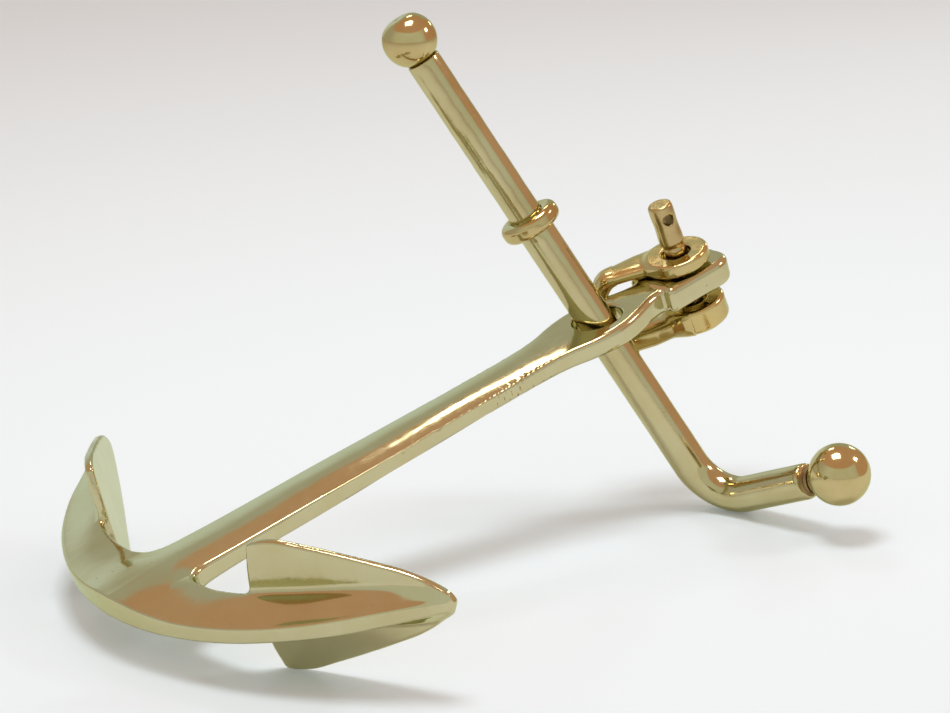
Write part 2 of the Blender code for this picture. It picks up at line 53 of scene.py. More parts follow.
CROWN_FRONT = 2.5
ARM_RADIUS = 121.0
ARM_STRAIGHT_Y = 88.0
ARM_INNER_X = 24.7
PALM_BASE = (33.3, 52.2)
PALM_ANGLE = math.radians(30.3)
PALM_LENGTH = 66.5
PALM_HALF_THICK = 1.5
EYE_X = 212.8
EYE_HOLE_R = 9.2
LUG_START_X = 237.5
LUG_END_X = 269.0
LUG_HALF_W = 12.0
LUG_HALF_T = 4.75
PIN_X = 253.7
PIN_HOLE_R = 5.4

SHANK_END_X = 243.0
CROTCH_FILLET = 11.0
CROTCH_BLEND = 13.0
PALM_FILLET = 2.4
HEAD_FILLET = 1.5
FILE_MARK_X = 166.0

# The shank by distance along it: half width, half thickness, camber of its
# faces and radius of its edges.
SHANK_WIDTH = [
    (0, 13.4), (24, 13.3), (33, 12.9), (40, 12.6), (100, 11.5), (160, 10.3), (178.8, 10.0),
    (186, 10.3), (192, 11.3), (198, 13.2), (205, 14.7), (211, 15.0), (218, 13.9), (225, 11.4),
    (231, 9.0), (235, 8.0), (240, 8.0), (290, 8.0),
]
SHANK_THICK = [
    (0, 5.0), (25, 5.0), (40, 4.6), (100, 4.25), (178.8, 3.8), (212.8, 4.0), (236, 4.35), (290, 4.4),
]
SHANK_CROWN = [(0, 1.3), (30, 1.5), (60, 1.5), (165, 1.25), (185, 0.8), (200, 0.4), (290, 0.2)]
SHANK_EDGE = [(0, 1.6), (35, 1.2), (60, 0.8), (175, 0.8), (195, 1.5), (210, 1.9), (290, 1.6)]

# Heights along an arm, by distance across from the shank: the inner edge that
# carries the palm, the outer upper edge, and the outer lower edge below the middle.
ARM_SEAT_H = [
    (0, 5.5), (12, 5.1), (22, 4.6), (31, 4.7), (40, 5.1), (56, 5.6),
    (67, 5.7), (78, 5.9), (86, 6.1), (96, 6.1), (104, 5.2), (112, 3.0),
]
ARM_RIDGE_H = [
    (0, 4.7), (8, 4.4), (20, 3.2), (31, 2.3), (40, 1.9),
    (56, 1.6), (67, 1.6), (85, 1.9), (100, 2.1), (112, 1.7),
]
ARM_FOOT_H = [
    (0, 4.2), (40, 4.2), (56, 4.2), (67, 4.0), (76, 4.0), (86, 4.0), (96, 3.5), (106, 2.6), (112, 1.9),
]

# Half width of a palm by distance from its wide end to its point.
PALM_OUTLINE = [
    (-14, 22.0), (-6, 22.3), (-1, 23.2), (3, 23.8), (8.5, 23.7), (18, 21.4), (30, 18.1), (42, 14.4),
    (52, 10.9), (58, 7.9), (62.5, 4.9), (66.5, 1.6), (80, -8.0),
]


def eased(table, x):
    """Smooth value of a table of (place, size) at x, with no kinks between its rows."""
    px = np.array([row[0] for row in table], float)
    py = np.array([row[1] for row in table], float)
    slope = np.gradient(py, px)
    i = np.clip(np.searchsorted(px, x) - 1, 0, len(px) - 2)
    gap = px[i + 1] - px[i]
    t = np.clip((x - px[i]) / gap, 0.0, 1.0)
    a = py[i] * (1 + 2 * t) * (1 - t) ** 2 + slope[i] * gap * t * (1 - t) ** 2
    b = py[i + 1] * t * t * (3 - 2 * t) - slope[i + 1] * gap * t * t * (1 - t)
    return a + b


def melt(a, b, fillet):
    """Union of two bodies with a fillet where they meet."""
    h = np.clip(0.5 + 0.5 * (b - a) / fillet, 0.0, 1.0)
    return b * (1 - h) + a * h - fillet * h * (1 - h)


def carve(a, b, round_off):
    """What two bodies share, with the edge between them rounded."""
    return -melt(-a, -b, round_off)


def edge_round(a, b, radius):
    """Slab a crossed with slab b, with a round edge of that radius."""
    u = a + radius
    v = b + radius
    return np.minimum(np.maximum(u, v), 0.0) + np.hypot(np.maximum(u, 0.0), np.maximum(v, 0.0)) - radius


def shank_bar(x, y):
    """Plan distance, half thickness and edge radius of the shank without its lug."""
    width = eased(SHANK_WIDTH, x)
    steep = (eased(SHANK_WIDTH, x + 0.5) - width) / 0.5
    plan = (np.abs(y) - width) / np.sqrt(1 + steep ** 2)
    rise = eased(SHANK_CROWN, x)
    share = np.clip(np.abs(y) / width, 0.0, 1.15)
    return plan, eased(SHANK_THICK, x) - rise * share ** 2, eased(SHANK_EDGE, x)


def arm_plan(x, y):
    """Plan distance of the crown and arms, and how far across from the outside a point is."""
    far = np.abs(y)
    centre_x = CROWN_FRONT + ARM_RADIUS
    turn = math.asin(ARM_STRAIGHT_Y / ARM_RADIUS)
    tx, ty = math.sin(turn), math.cos(turn)
    outer_arc = np.hypot(x - centre_x, far) - ARM_RADIUS
    sx = centre_x - ARM_RADIUS * math.cos(turn)
    outer_line = -(x - sx) * ty + (far - ARM_STRAIGHT_Y) * tx
    past = (x - sx) * tx + (far - ARM_STRAIGHT_Y) * ty > 0
    outer = np.where(past, outer_line, outer_arc)
    sin_a, cos_a = math.sin(PALM_ANGLE), math.cos(PALM_ANGLE)
    seat = (x - PALM_BASE[0]) * cos_a - (far - PALM_BASE[1]) * sin_a + PALM_HALF_THICK - 0.2
    face = x - ARM_INNER_X - 0.03 * np.maximum(far - 20, 0.0)
    inner = melt(face, seat, 7.0)
    part = np.clip(-outer / np.maximum(-outer - inner, 1.0), 0.0, 1.0)
    plan = carve(outer, inner, 0.6)
    along = (x - PALM_BASE[0]) * sin_a + (far - PALM_BASE[1]) * cos_a
    return carve(plan, along - PALM_LENGTH + 0.6, 3.0), part


def cross_body(x, y, z):
    """Shank, crown and arms in one, with the crotches between them filled round."""
    shank_plan, shank_top, shank_edge = shank_bar(x, y)
    arms, part = arm_plan(x, y)
    far = np.abs(y)
    reach = np.maximum(shank_plan, 21.0 - x)
    plan = melt(reach, arms, CROTCH_FILLET)
    own = np.clip(0.5 + 0.5 * (arms - reach) / CROTCH_BLEND, 0.0, 1.0)
    own = own * own * (3 - 2 * own)
    part = part * part * (3 - 2 * part)
    seat_h = eased(ARM_SEAT_H, far)
    ridge_h = eased(ARM_RIDGE_H, far)
    foot_h = eased(ARM_FOOT_H, far)
    top = (ridge_h + (seat_h - ridge_h) * part) * (1 - own) + shank_top * own
    foot = (foot_h + (seat_h - foot_h) * part) * (1 - own) + shank_top * own
    edge = 1.0 * (1 - own) + shank_edge * own
    deep = np.abs(z - (top - foot) / 2) - (top + foot) / 2
    body = edge_round(plan, deep * 0.985, edge)
    file_marks = np.exp(-((x - FILE_MARK_X) / 17.0) ** 2) * np.exp(-((shank_plan + 0.4) / 1.2) ** 2)
    chatter = np.sin(x * 2.3 + 2.1 * np.sin(x * 0.31)) * np.sin(x * 0.83 + z * 0.9)
    return body + 0.10 * file_marks * chatter


def head_body(x, y, z):
    """Lug for the shackle at the head of the shank."""
    lug_x = np.abs(x - (LUG_START_X + LUG_END_X) / 2) - (LUG_END_X - LUG_START_X) / 2
    corner = np.where(x > 250, 8.6, 2.2)
    plan = edge_round(lug_x, np.abs(y) - LUG_HALF_W, corner)
    return edge_round(plan, np.abs(z) - LUG_HALF_T, 2.3)


def palm_body(x, y, z):
    """Both palms: flat plates with a swept wide end and a round point."""
    far = np.abs(y)
    sin_a, cos_a = math.sin(PALM_ANGLE), math.cos(PALM_ANGLE)
    along = (x - PALM_BASE[0]) * sin_a + (far - PALM_BASE[1]) * cos_a
    off = (x - PALM_BASE[0]) * cos_a - (far - PALM_BASE[1]) * sin_a
    half = eased(PALM_OUTLINE, along)
    steep = (eased(PALM_OUTLINE, along + 0.5) - half) / 0.5
    rim = (np.abs(z) - half) / np.sqrt(1 + steep ** 2)
    wide_end = -6.0 + 4.4 * np.clip(np.abs(z) / 22.4, 0.0, 1.2) ** 1.5 - along
    plan = carve(rim, wide_end * 0.96, 1.4)
    plan = carve(plan, along - PALM_LENGTH + 0.2, 2.6)
    return edge_round(plan, np.abs(off) - PALM_HALF_THICK, 1.0)


def anchor_body(p):
    """Distance outside the casting's surface, in millimetres."""
    x, y, z = p[:, 0], p[:, 1], p[:, 2]
    cross = carve(cross_body(x, y, z), x - SHANK_END_X, 1.0)
    casting = melt(cross, palm_body(x, y, z), PALM_FILLET)
    casting = melt(casting, head_body(x, y, z), HEAD_FILLET)
    casting = carve(casting, EYE_HOLE_R - np.hypot(x - EYE_X, y), 1.1)
    casting = carve(casting, PIN_HOLE_R - np.hypot(x - PIN_X, y), 0.8)
    ripple = np.sin(x / 8.5 + 1.3 * np.sin(y / 11.0)) * np.sin(y / 6.7 + z / 5.0 + 0.7)
    return casting + 0.05 * ripple


def grow_surface(distance, low, high, step):
    """Mesh of the surface where distance(points) is 0, in the anchor's own millimetres."""
    low = np.array(low, float)
    block = 6
    blocks = np.ceil((np.array(high, float) - low) / (step * block)).astype(int)
    count = blocks * block + 1
    field = np.full(count, 10.0, np.float32)
    grid = np.stack(np.meshgrid(*[np.arange(n) for n in blocks], indexing="ij"), -1).reshape(-1, 3)
    reach = step * block
    value = distance(low + (grid + 0.5) * reach)
    near = np.abs(value) < reach * 1.25
    inner = grid[value < 0]
    for i, j, k in inner:
        field[i * block:i * block + block + 1, j * block:j * block + block + 1,
              k * block:k * block + block + 1] = -10.0
    local = np.stack(np.meshgrid(*[np.arange(block + 1)] * 3, indexing="ij"), -1).reshape(-1, 3)
    chosen = grid[near]
    for start in range(0, len(chosen), 900):
        cells = chosen[start:start + 900]
        at = (cells[:, None, :] * block + local[None]).reshape(-1, 3)
        field[at[:, 0], at[:, 1], at[:, 2]] = distance(low + at * step)
    solid = field < 0
    corners = [(a, b, c) for a in (0, 1) for b in (0, 1) for c in (0, 1)]
    n = np.array(count) - 1
    total = np.zeros(n, np.int8)
    for a, b, c in corners:
        total += solid[a:a + n[0], b:b + n[1], c:c + n[2]]
    active = np.argwhere((total > 0) & (total < 8))
    index = np.full(n, -1, np.int64)
    index[tuple(active.T)] = np.arange(len(active))
    points = np.zeros((len(active), 3))
    hits = np.zeros(len(active))
    for a, b, c in corners:
        for axis in range(3):
            if (a, b, c)[axis]:
                continue
            first = active + np.array((a, b, c))
            second = first.copy()
            second[:, axis] += 1
            fa = field[tuple(first.T)].astype(float)
            fb = field[tuple(second.T)].astype(float)
            cross = (fa < 0) != (fb < 0)
            t = np.where(cross, fa / np.where(cross, fa - fb, 1.0), 0.0)
            spot = first.astype(float)
            spot[:, axis] += t
            points[cross] += spot[cross]
            hits[cross] += 1
    points = low + points / hits[:, None] * step

    def slope_at(p):
        """Direction in which the distance grows fastest, at each point."""
        parts = []
        for axis in range(3):
            nudge = np.zeros(3)
            nudge[axis] = 0.02
            parts.append((distance(p + nudge) - distance(p - nudge)) / 0.04)
        return np.stack(parts, -1)

    for _ in range(3):
        grad = slope_at(points)
        size = np.maximum((grad ** 2).sum(1), 0.2)
        move = grad * (distance(points) / size)[:, None]
        length = np.linalg.norm(move, axis=1)
        points -= move * np.minimum(1.0, 0.6 * step / np.maximum(length, 1e-9))[:, None]
    faces = []
    for axis in range(3):
        b, c = (axis + 1) % 3, (axis + 2) % 3
        lead = [slice(None)] * 3
        lead[axis] = slice(0, count[axis] - 1)
        tail = [slice(None)] * 3
        tail[axis] = slice(1, count[axis])
        here, there = solid[tuple(lead)], solid[tuple(tail)]
        edges = np.argwhere(here != there)
        inside_first = here[tuple(edges.T)]
        ok = (edges[:, b] > 0) & (edges[:, c] > 0) & (edges[:, b] < n[b]) & (edges[:, c] < n[c])
        edges, inside_first = edges[ok], inside_first[ok]
        ring = []
        for db, dc in ((-1, -1), (0, -1), (0, 0), (-1, 0)):
            cell = edges.copy()
            cell[:, b] += db
            cell[:, c] += dc
            ring.append(index[tuple(cell.T)])
        quad = np.stack(ring, -1)
        quad[~inside_first] = quad[~inside_first][:, ::-1]
        faces.append(quad)
    faces = np.concatenate(faces)
    return points, faces, slope_at(points)


def place_mesh(name, points, faces, normals=None):
    """New object whose mesh lies at its place in the row frame, in metres."""
    world = (np.asarray(points, float) @ ACROSS.T + CROWN_AT) * MM
    mesh = bpy.data.meshes.new(name)
    mesh.from_pydata(world.tolist(), [], [list(map(int, f)) for f in faces])
    mesh.polygons.foreach_set("use_smooth", [True] * len(mesh.polygons))
    if normals is not None:
        turned = normals @ ACROSS.T
        turned /= np.linalg.norm(turned, axis=1)[:, None]
        mesh.normals_split_custom_set_from_vertices(turned.tolist())
    mesh.update()
    obj = bpy.data.objects.new(name, mesh)
    bpy.context.scene.collection.objects.link(obj)
    return obj


def bright_bronze(name, tone, shade, grain, rough, painted_recess_shade):
    """Buffed bronze: wavy hand polish, fine buffing lines, small pits, and painted shade browning the
    corners, as strong as the last argument.
    """
    material = bpy.data.materials.new(name)
    material.use_nodes = True
    nodes, links = material.node_tree.nodes, material.node_tree.links
    shader = nodes["Principled BSDF"]
    shader.inputs["Metallic"].default_value = 1.0
    shader.inputs["Specular Tint"].default_value = (0.80, 0.86, 0.66, 1.0)
    where = nodes.new("ShaderNodeTexCoord")
    cloud = nodes.new("ShaderNodeTexNoise")
    cloud.inputs["Scale"].default_value = 45.0
    cloud.inputs["Detail"].default_value = 5.0
    cloud.inputs["Roughness"].default_value = 0.6
    links.new(where.outputs["Object"], cloud.inputs["Vector"])
    tint = nodes.new("ShaderNodeMix")
    tint.data_type = "RGBA"
    tint.inputs["A"].default_value = (*tone, 1.0)
    tint.inputs["B"].default_value = (*shade, 1.0)
    span = nodes.new("ShaderNodeMapRange")
    span.inputs["From Min"].default_value = 0.38
    span.inputs["From Max"].default_value = 0.68
    links.new(cloud.outputs["Fac"], span.inputs["Value"])
    links.new(span.outputs["Result"], tint.inputs["Factor"])

    # Painted shade: where ambient occlusion finds the surface enclosed, in corners and recesses, the colour
    # is mixed towards dark brown; the same mask also raises the roughness there.
    shelter = nodes.new("ShaderNodeAmbientOcclusion")
    shelter.samples = 6
    shelter.only_local = True
    shelter.inputs["Distance"].default_value = 0.0045
    occlusion_shade_mask = nodes.new("ShaderNodeMapRange")
    occlusion_shade_mask.inputs["From Min"].default_value = 0.8
    occlusion_shade_mask.inputs["From Max"].default_value = 0.25
    occlusion_shade_mask.inputs["To Max"].default_value = painted_recess_shade
    links.new(shelter.outputs["AO"], occlusion_shade_mask.inputs["Value"])
    shade_browned = nodes.new("ShaderNodeMix")
    shade_browned.data_type = "RGBA"
    shade_browned.inputs["B"].default_value = (0.16, 0.085, 0.025, 1.0)
    links.new(occlusion_shade_mask.outputs["Result"], shade_browned.inputs["Factor"])
    links.new(tint.outputs["Result"], shade_browned.inputs["A"])

    pit = nodes.new("ShaderNodeTexVoronoi")
    pit.inputs["Scale"].default_value = 210.0
    links.new(where.outputs["Object"], pit.inputs["Vector"])
    pit_size = nodes.new("ShaderNodeMapRange")
    pit_size.interpolation_type = "SMOOTHSTEP"
    pit_size.inputs["From Min"].default_value = 0.085
    pit_size.inputs["From Max"].default_value = 0.03
    links.new(pit.outputs["Distance"], pit_size.inputs["Value"])
    pick = nodes.new("ShaderNodeSeparateColor")
    links.new(pit.outputs["Color"], pick.inputs["Color"])
    few = nodes.new("ShaderNodeMath")
    few.operation = "GREATER_THAN"
    few.inputs[1].default_value = 0.8
    links.new(pick.outputs["Red"], few.inputs[0])
    pits = nodes.new("ShaderNodeMath")
    pits.operation = "MULTIPLY"
    links.new(pit_size.outputs["Result"], pits.inputs[0])
    links.new(few.outputs["Value"], pits.inputs[1])
    pitted = nodes.new("ShaderNodeMix")
    pitted.data_type = "RGBA"
    pitted.inputs["B"].default_value = (0.2, 0.12, 0.04, 1.0)
    faint = nodes.new("ShaderNodeMath")
    faint.operation = "MULTIPLY"
    faint.inputs[1].default_value = 0.55
    links.new(pits.outputs["Value"], faint.inputs[0])
    links.new(faint.outputs["Value"], pitted.inputs["Factor"])
    links.new(shade_browned.outputs["Result"], pitted.inputs["A"])
    links.new(pitted.outputs["Result"], shader.inputs["Base Color"])

    stretch = nodes.new("ShaderNodeMapping")
    stretch.inputs["Scale"].default_value = grain
    links.new(where.outputs["Object"], stretch.inputs["Vector"])
    lines = nodes.new("ShaderNodeTexNoise")
    lines.inputs["Scale"].default_value = 1.0
    lines.inputs["Detail"].default_value = 4.0
    links.new(stretch.outputs["Vector"], lines.inputs["Vector"])
    gloss = nodes.new("ShaderNodeMapRange")
    gloss.inputs["From Min"].default_value = 0.3
    gloss.inputs["From Max"].default_value = 0.75
    gloss.inputs["To Min"].default_value = rough
    gloss.inputs["To Max"].default_value = rough + 0.09
    links.new(lines.outputs["Fac"], gloss.inputs["Value"])
    dull = nodes.new("ShaderNodeMath")
    dull.operation = "ADD"
    links.new(gloss.outputs["Result"], dull.inputs[0])
    spread = nodes.new("ShaderNodeMath")
    spread.operation = "MULTIPLY"
    spread.inputs[1].default_value = 0.3
    links.new(occlusion_shade_mask.outputs["Result"], spread.inputs[0])
    links.new(spread.outputs["Value"], dull.inputs[1])
    links.new(dull.outputs["Value"], shader.inputs["Roughness"])

    wave = nodes.new("ShaderNodeTexNoise")
    wave.inputs["Scale"].default_value = 130.0
    wave.inputs["Detail"].default_value = 1.5
    links.new(where.outputs["Object"], wave.inputs["Vector"])
    hand = nodes.new("ShaderNodeBump")
    hand.inputs["Strength"].default_value = 0.5
    hand.inputs["Distance"].default_value = 0.00015
    links.new(wave.outputs["Fac"], hand.inputs["Height"])
    buff = nodes.new("ShaderNodeBump")
    buff.inputs["Strength"].default_value = 0.12
    buff.inputs["Distance"].default_value = 0.00005
    links.new(lines.outputs["Fac"], buff.inputs["Height"])
    links.new(hand.outputs["Normal"], buff.inputs["Normal"])
    dents = nodes.new("ShaderNodeBump")
    dents.invert = True
    dents.inputs["Strength"].default_value = 0.6
    dents.inputs["Distance"].default_value = 0.0001
    links.new(pits.outputs["Value"], dents.inputs["Height"])
    links.new(buff.outputs["Normal"], dents.inputs["Normal"])
    links.new(dents.outputs["Normal"], shader.inputs["Normal"])
    return material


BODY_STEP = 0.68
points, faces, normals = grow_surface(anchor_body, (-1.0, -113.0, -26.0), (272.0, 113.0, 26.0), BODY_STEP)
casting = place_mesh("anchor_casting", points, faces, normals)
casting.data.materials.append(bright_bronze(
    "buffed_casting", (0.575, 0.525, 0.305), (0.545, 0.475, 0.255), (60.0, 900.0, 900.0), 0.075, 0.75))
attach(casting, "anchor")
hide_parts("shank", "crown_arms", "palm_left", "palm_right")

# ---- The stock bar ----------------------------------------------------------
# Drawn bronze bar, turned to two diameters, with one end bent square and
# threaded. It slides and turns in the eye of the shank.
STOCK_LEAN = (-0.196, 0.247)
STOCK_ARM_AIM = (0.241, -0.926, 0.291)
STOCK_TOP = 123.5
STOCK_COLLAR = 45.8
STOCK_CORNER = 79.0
STOCK_ARM = 61.6
BEND_RADIUS = 17.0
BAR_UPPER_R = 6.0
BAR_LOWER_R = 6.5
COLLAR_R = 11.0
COLLAR_H = 6.4
COLLAR_ROUND = 2.5
BALL_END_R = 11.0
BALL_TOP_R = 9.6
THREAD_PITCH = 2.1
THREAD_ROOT_R = 4.6
THREAD_CREST_R = 5.7
THREAD_BARE = 5.6
TOP_CHAMFER = 0.5
LOW_CHAMFER = 0.4
SPIGOT_SHARE = 0.23
FIT_GAP = 0.3

upright = math.sqrt(1 - STOCK_LEAN[0] ** 2 - STOCK_LEAN[1] ** 2)
stock_axis = np.array([STOCK_LEAN[0], STOCK_LEAN[1], upright])
arm_axis = np.array(STOCK_ARM_AIM)
arm_axis = arm_axis - arm_axis.dot(stock_axis) * stock_axis
arm_axis /= np.linalg.norm(arm_axis)
side_axis = np.cross(stock_axis, arm_axis)
STOCK_AT = np.array([EYE_X + 0.5, 0.6, 0.0])
STOCK_TURN = np.stack([arm_axis, side_axis, stock_axis])


def in_stock(points):
    """From the stock's own axes to the anchor's."""
    return np.asarray(points, float) @ STOCK_TURN + STOCK_AT


def turned_rings(rings, segments):
    """Skin over round sections given as (centre, unit tangent, radius), with closed ends."""
    verts, quads = [], []
    across = np.array([0.0, 1.0, 0.0])
    for centre, tangent, radius in rings:
        other = np.cross(tangent, across)
        for s in range(segments):
            a = 2 * math.pi * s / segments
            verts.append(np.array(centre) + radius * (math.cos(a) * across + math.sin(a) * other))
    for r in range(len(rings) - 1):
        for s in range(segments):
            n = (s + 1) % segments
            near, past = r * segments, (r + 1) * segments
            quads.append([near + s, past + s, past + n, near + n])
    ends = ((0, range(segments)), (len(rings) - 1, range(segments - 1, -1, -1)))
    for r, order in ends:
        middle = len(verts)
        verts.append(np.array(rings[r][0], float))
        loop = [r * segments + s for s in order]
        for s in range(segments):
            quads.append([middle, loop[(s - 1) % segments], loop[s]])
    return np.array(verts), quads


def face_out(obj):
    """Recalculates a closed mesh's faces so that they point outwards."""
    shape = bmesh.new()
    shape.from_mesh(obj.data)
    bmesh.ops.recalc_face_normals(shape, faces=shape.faces)
    shape.to_mesh(obj.data)
    shape.free()


spigot_r = BALL_TOP_R * 2 * SPIGOT_SHARE
top_face = math.sqrt(BALL_TOP_R ** 2 - (spigot_r + FIT_GAP + 0.8) ** 2)
end_face = math.sqrt(BALL_END_R ** 2 - (THREAD_CREST_R + FIT_GAP + 0.8) ** 2)
top_low = STOCK_TOP - top_face
collar_low = STOCK_COLLAR - COLLAR_H / 2
thread_low = STOCK_ARM - end_face - THREAD_BARE
down = np.array([0.0, 0.0, -1.0])
rings = [((0, 0, top_low + 2.0), down, spigot_r), ((0, 0, top_low - 0.25), down, spigot_r)]
for part in range(5):
    a = math.radians(90 * part / 4)
    z = top_low - 0.35 - TOP_CHAMFER * (1 - math.cos(a))
    rings.append(((0, 0, z), down, BAR_UPPER_R - TOP_CHAMFER * (1 - math.sin(a))))
for part in range(1, 40):
    z = top_low - 0.9 + (collar_low - 0.3 - top_low + 0.9) * part / 40
    worn = 0.035 * math.sin(part * 0.55) + 0.02 * math.sin(part * 1.37)
    rings.append(((0, 0, z), down, BAR_UPPER_R + worn))
rings.append(((0, 0, collar_low - 0.3), down, BAR_UPPER_R))
rings.append(((0, 0, collar_low - 0.32), down, BAR_LOWER_R - 0.5))
for part in range(5):
    a = math.radians(90 * part / 4)
    z = collar_low - 0.35 - LOW_CHAMFER * (1 - math.cos(a))
    rings.append(((0, 0, z), down, BAR_LOWER_R - LOW_CHAMFER * (1 - math.sin(a))))
straight_low = -STOCK_CORNER + BEND_RADIUS
for part in range(1, 45):
    z = collar_low - 0.8 + (straight_low - collar_low + 0.8) * part / 45
    rings.append(((0, 0, z), down, BAR_LOWER_R + 0.03 * math.sin(part * 0.48) * math.sin(part * 0.21)))
for part in range(31):
    a = math.radians(90 * part / 30)
    centre = (BEND_RADIUS - BEND_RADIUS * math.cos(a), 0, straight_low - BEND_RADIUS * math.sin(a))
    rings.append((centre, np.array([math.sin(a), 0, -math.cos(a)]), BAR_LOWER_R))
right = np.array([1.0, 0.0, 0.0])
for x, r in (
    (BEND_RADIUS + 4.0, BAR_LOWER_R),
    (thread_low - 9.0, BAR_LOWER_R),
    (thread_low - 2.6, BAR_LOWER_R),
    (thread_low - 1.4, BAR_LOWER_R - 0.08),
    (thread_low - 0.8, BAR_LOWER_R - 0.3),
    (thread_low - 0.4, BAR_LOWER_R - 0.7),
    (thread_low - 0.35, THREAD_ROOT_R),
    (thread_low + THREAD_BARE + 3.0, THREAD_ROOT_R),
):
    rings.append(((x, 0, -STOCK_CORNER), right, r))
bar_points, bar_faces = turned_rings(rings, 72)
stock_bar = place_mesh("stock_bar_turned", in_stock(bar_points), bar_faces)
face_out(stock_bar)
stock_bronze = bright_bronze(
    "buffed_stock", (0.57, 0.50, 0.275), (0.51, 0.425, 0.205), (420.0, 420.0, 700.0), 0.09, 0.8)
stock_bar.data.materials.append(stock_bronze)
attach(stock_bar, "stock")
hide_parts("stock_bar")

# ---- The screw thread on the bent end -----------------------------------------
# A cut thread in dark brown bronze, with painted shade darkening its grooves.
# The ball screws on to it, so only its last few turns show.
thread_tree = bpy.data.node_groups.new("cut_thread", "GeometryNodeTree")
for label, kind in (("Pitch", "NodeSocketFloat"), ("Length", "NodeSocketFloat"),
                    ("Root Radius", "NodeSocketFloat"), ("Ridge Size", "NodeSocketFloat"),
                    ("Finish", "NodeSocketMaterial")):
    thread_tree.interface.new_socket(label, in_out="INPUT", socket_type=kind)
thread_tree.interface.new_socket("Geometry", in_out="OUTPUT", socket_type="NodeSocketGeometry")
tn, tl = thread_tree.nodes, thread_tree.links
given = tn.new("NodeGroupInput")
turns = tn.new("ShaderNodeMath")
turns.operation = "DIVIDE"
tl.new(given.outputs["Length"], turns.inputs[0])
tl.new(given.outputs["Pitch"], turns.inputs[1])
spiral = tn.new("GeometryNodeCurveSpiral")
spiral.inputs["Resolution"].default_value = 48
tl.new(turns.outputs["Value"], spiral.inputs["Rotations"])
tl.new(given.outputs["Root Radius"], spiral.inputs["Start Radius"])
tl.new(given.outputs["Root Radius"], spiral.inputs["End Radius"])
tl.new(given.outputs["Length"], spiral.inputs["Height"])
ridge = tn.new("GeometryNodeCurvePrimitiveCircle")
ridge.inputs["Resolution"].default_value = 4
tl.new(given.outputs["Ridge Size"], ridge.inputs["Radius"])
sweep = tn.new("GeometryNodeCurveToMesh")
sweep.inputs["Fill Caps"].default_value = True
tl.new(spiral.outputs["Curve"], sweep.inputs["Curve"])
tl.new(ridge.outputs["Curve"], sweep.inputs["Profile Curve"])
real = tn.new("GeometryNodeRealizeInstances")
tl.new(sweep.outputs["Mesh"], real.inputs["Geometry"])
paint = tn.new("GeometryNodeSetMaterial")
tl.new(real.outputs["Geometry"], paint.inputs["Geometry"])
tl.new(given.outputs["Finish"], paint.inputs["Material"])
result = tn.new("NodeGroupOutput")
tl.new(paint.outputs["Geometry"], result.inputs["Geometry"])

# Dark brown bronze for the thread; its grooves get painted shade from the occlusion mask.
thread_bronze = bright_bronze(
    "dark_thread_with_painted_shade", (0.40, 0.27, 0.12), (0.24, 0.14, 0.055), (500.0, 500.0, 500.0), 0.3, 0.9)
carrier = bpy.data.objects.new("thread_carrier", bpy.data.meshes.new("thread_carrier"))
bpy.context.scene.collection.objects.link(carrier)
threading = carrier.modifiers.new("thread", "NODES")
threading.node_group = thread_tree
sizes = {
    "Pitch": THREAD_PITCH, "Length": THREAD_BARE + 2.0, "Root Radius": THREAD_ROOT_R - 0.05,
    "Ridge Size": THREAD_CREST_R - THREAD_ROOT_R, "Finish": thread_bronze,
}
for item in thread_tree.interface.items_tree:
    if item.in_out == "INPUT":
        threading[item.identifier] = sizes[item.name]
bpy.context.view_layer.update()
made = carrier.evaluated_get(bpy.context.evaluated_depsgraph_get())
swept = bpy.data.meshes.new_from_object(made)
thread_points = np.array([tuple(v.co) for v in swept.vertices])
thread_faces = [list(f.vertices) for f in swept.polygons]
carrier.modifiers.clear()
bpy.data.objects.remove(carrier)


def on_bent_arm(points, start):
    """Lays points that rise along Z along the bent end of the stock instead."""
    return np.stack([points[:, 2] + start, points[:, 1], -points[:, 0] - STOCK_CORNER], -1)


laid = on_bent_arm(thread_points, thread_low - 0.4)
thread = place_mesh("stock_thread", in_stock(laid), thread_faces)
face_out(thread)
for face in thread.data.polygons:
    face.use_smooth = False
thread.data.materials.append(thread_bronze)
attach(thread, "stock")

# ---- The balls and the collar of the stock --------------------------------------
# Each is turned from bronze bar and buffed. The end ball screws on the thread,
# the top ball is pinned on a spigot, and the collar is pressed on above the eye.


def turned(profile, segments):
    """Closed turned piece from (radius, height) points, first and last on the axis or joined up."""
    verts, quads = [], []
    count = len(profile)
    for s in range(segments):
        a = 2 * math.pi * s / segments
        for r, z in profile:
            verts.append((r * math.cos(a), r * math.sin(a), z))
    closed = profile[0][0] > 0.01
    for s in range(segments):
        n = (s + 1) % segments
        for j in range(count if closed else count - 1):
            k = (j + 1) % count
            quads.append([s * count + j, n * count + j, n * count + k, s * count + k])
    return np.array(verts), quads


def close_poles(obj):
    """Merges the points that meet on a turned piece's axis."""
    shape = bmesh.new()
    shape.from_mesh(obj.data)
    bmesh.ops.remove_doubles(shape, verts=shape.verts, dist=1e-7)
    bmesh.ops.dissolve_degenerate(shape, edges=shape.edges, dist=1e-8)
    bmesh.ops.recalc_face_normals(shape, faces=shape.faces)
    shape.to_mesh(obj.data)
    shape.free()
    obj.data.polygons.foreach_set("use_smooth", [True] * len(obj.data.polygons))


def rounded(radius, face_r, face, bulge, flat_r, flat):
    """Profile of a ball: a flat face round the bar, then the round, then a button end."""
    start = -math.acos(min(1.0, face_r / radius))
    pts = [(0.0, -face), (face_r - 0.5, -face), (face_r - 0.1, -face + 0.08)]
    stop = math.pi / 2 - 0.001
    steps = 60
    for s in range(steps + 1):
        a = start + (stop - start) * s / steps
        r = radius * math.cos(a)
        z = radius * math.sin(a)
        if z > 0:
            z = z * (1 - flat * max(0.0, 1 - r / flat_r) ** bulge)
        pts.append((r, z))
    pts[-1] = (0.0, pts[-1][1])
    return pts


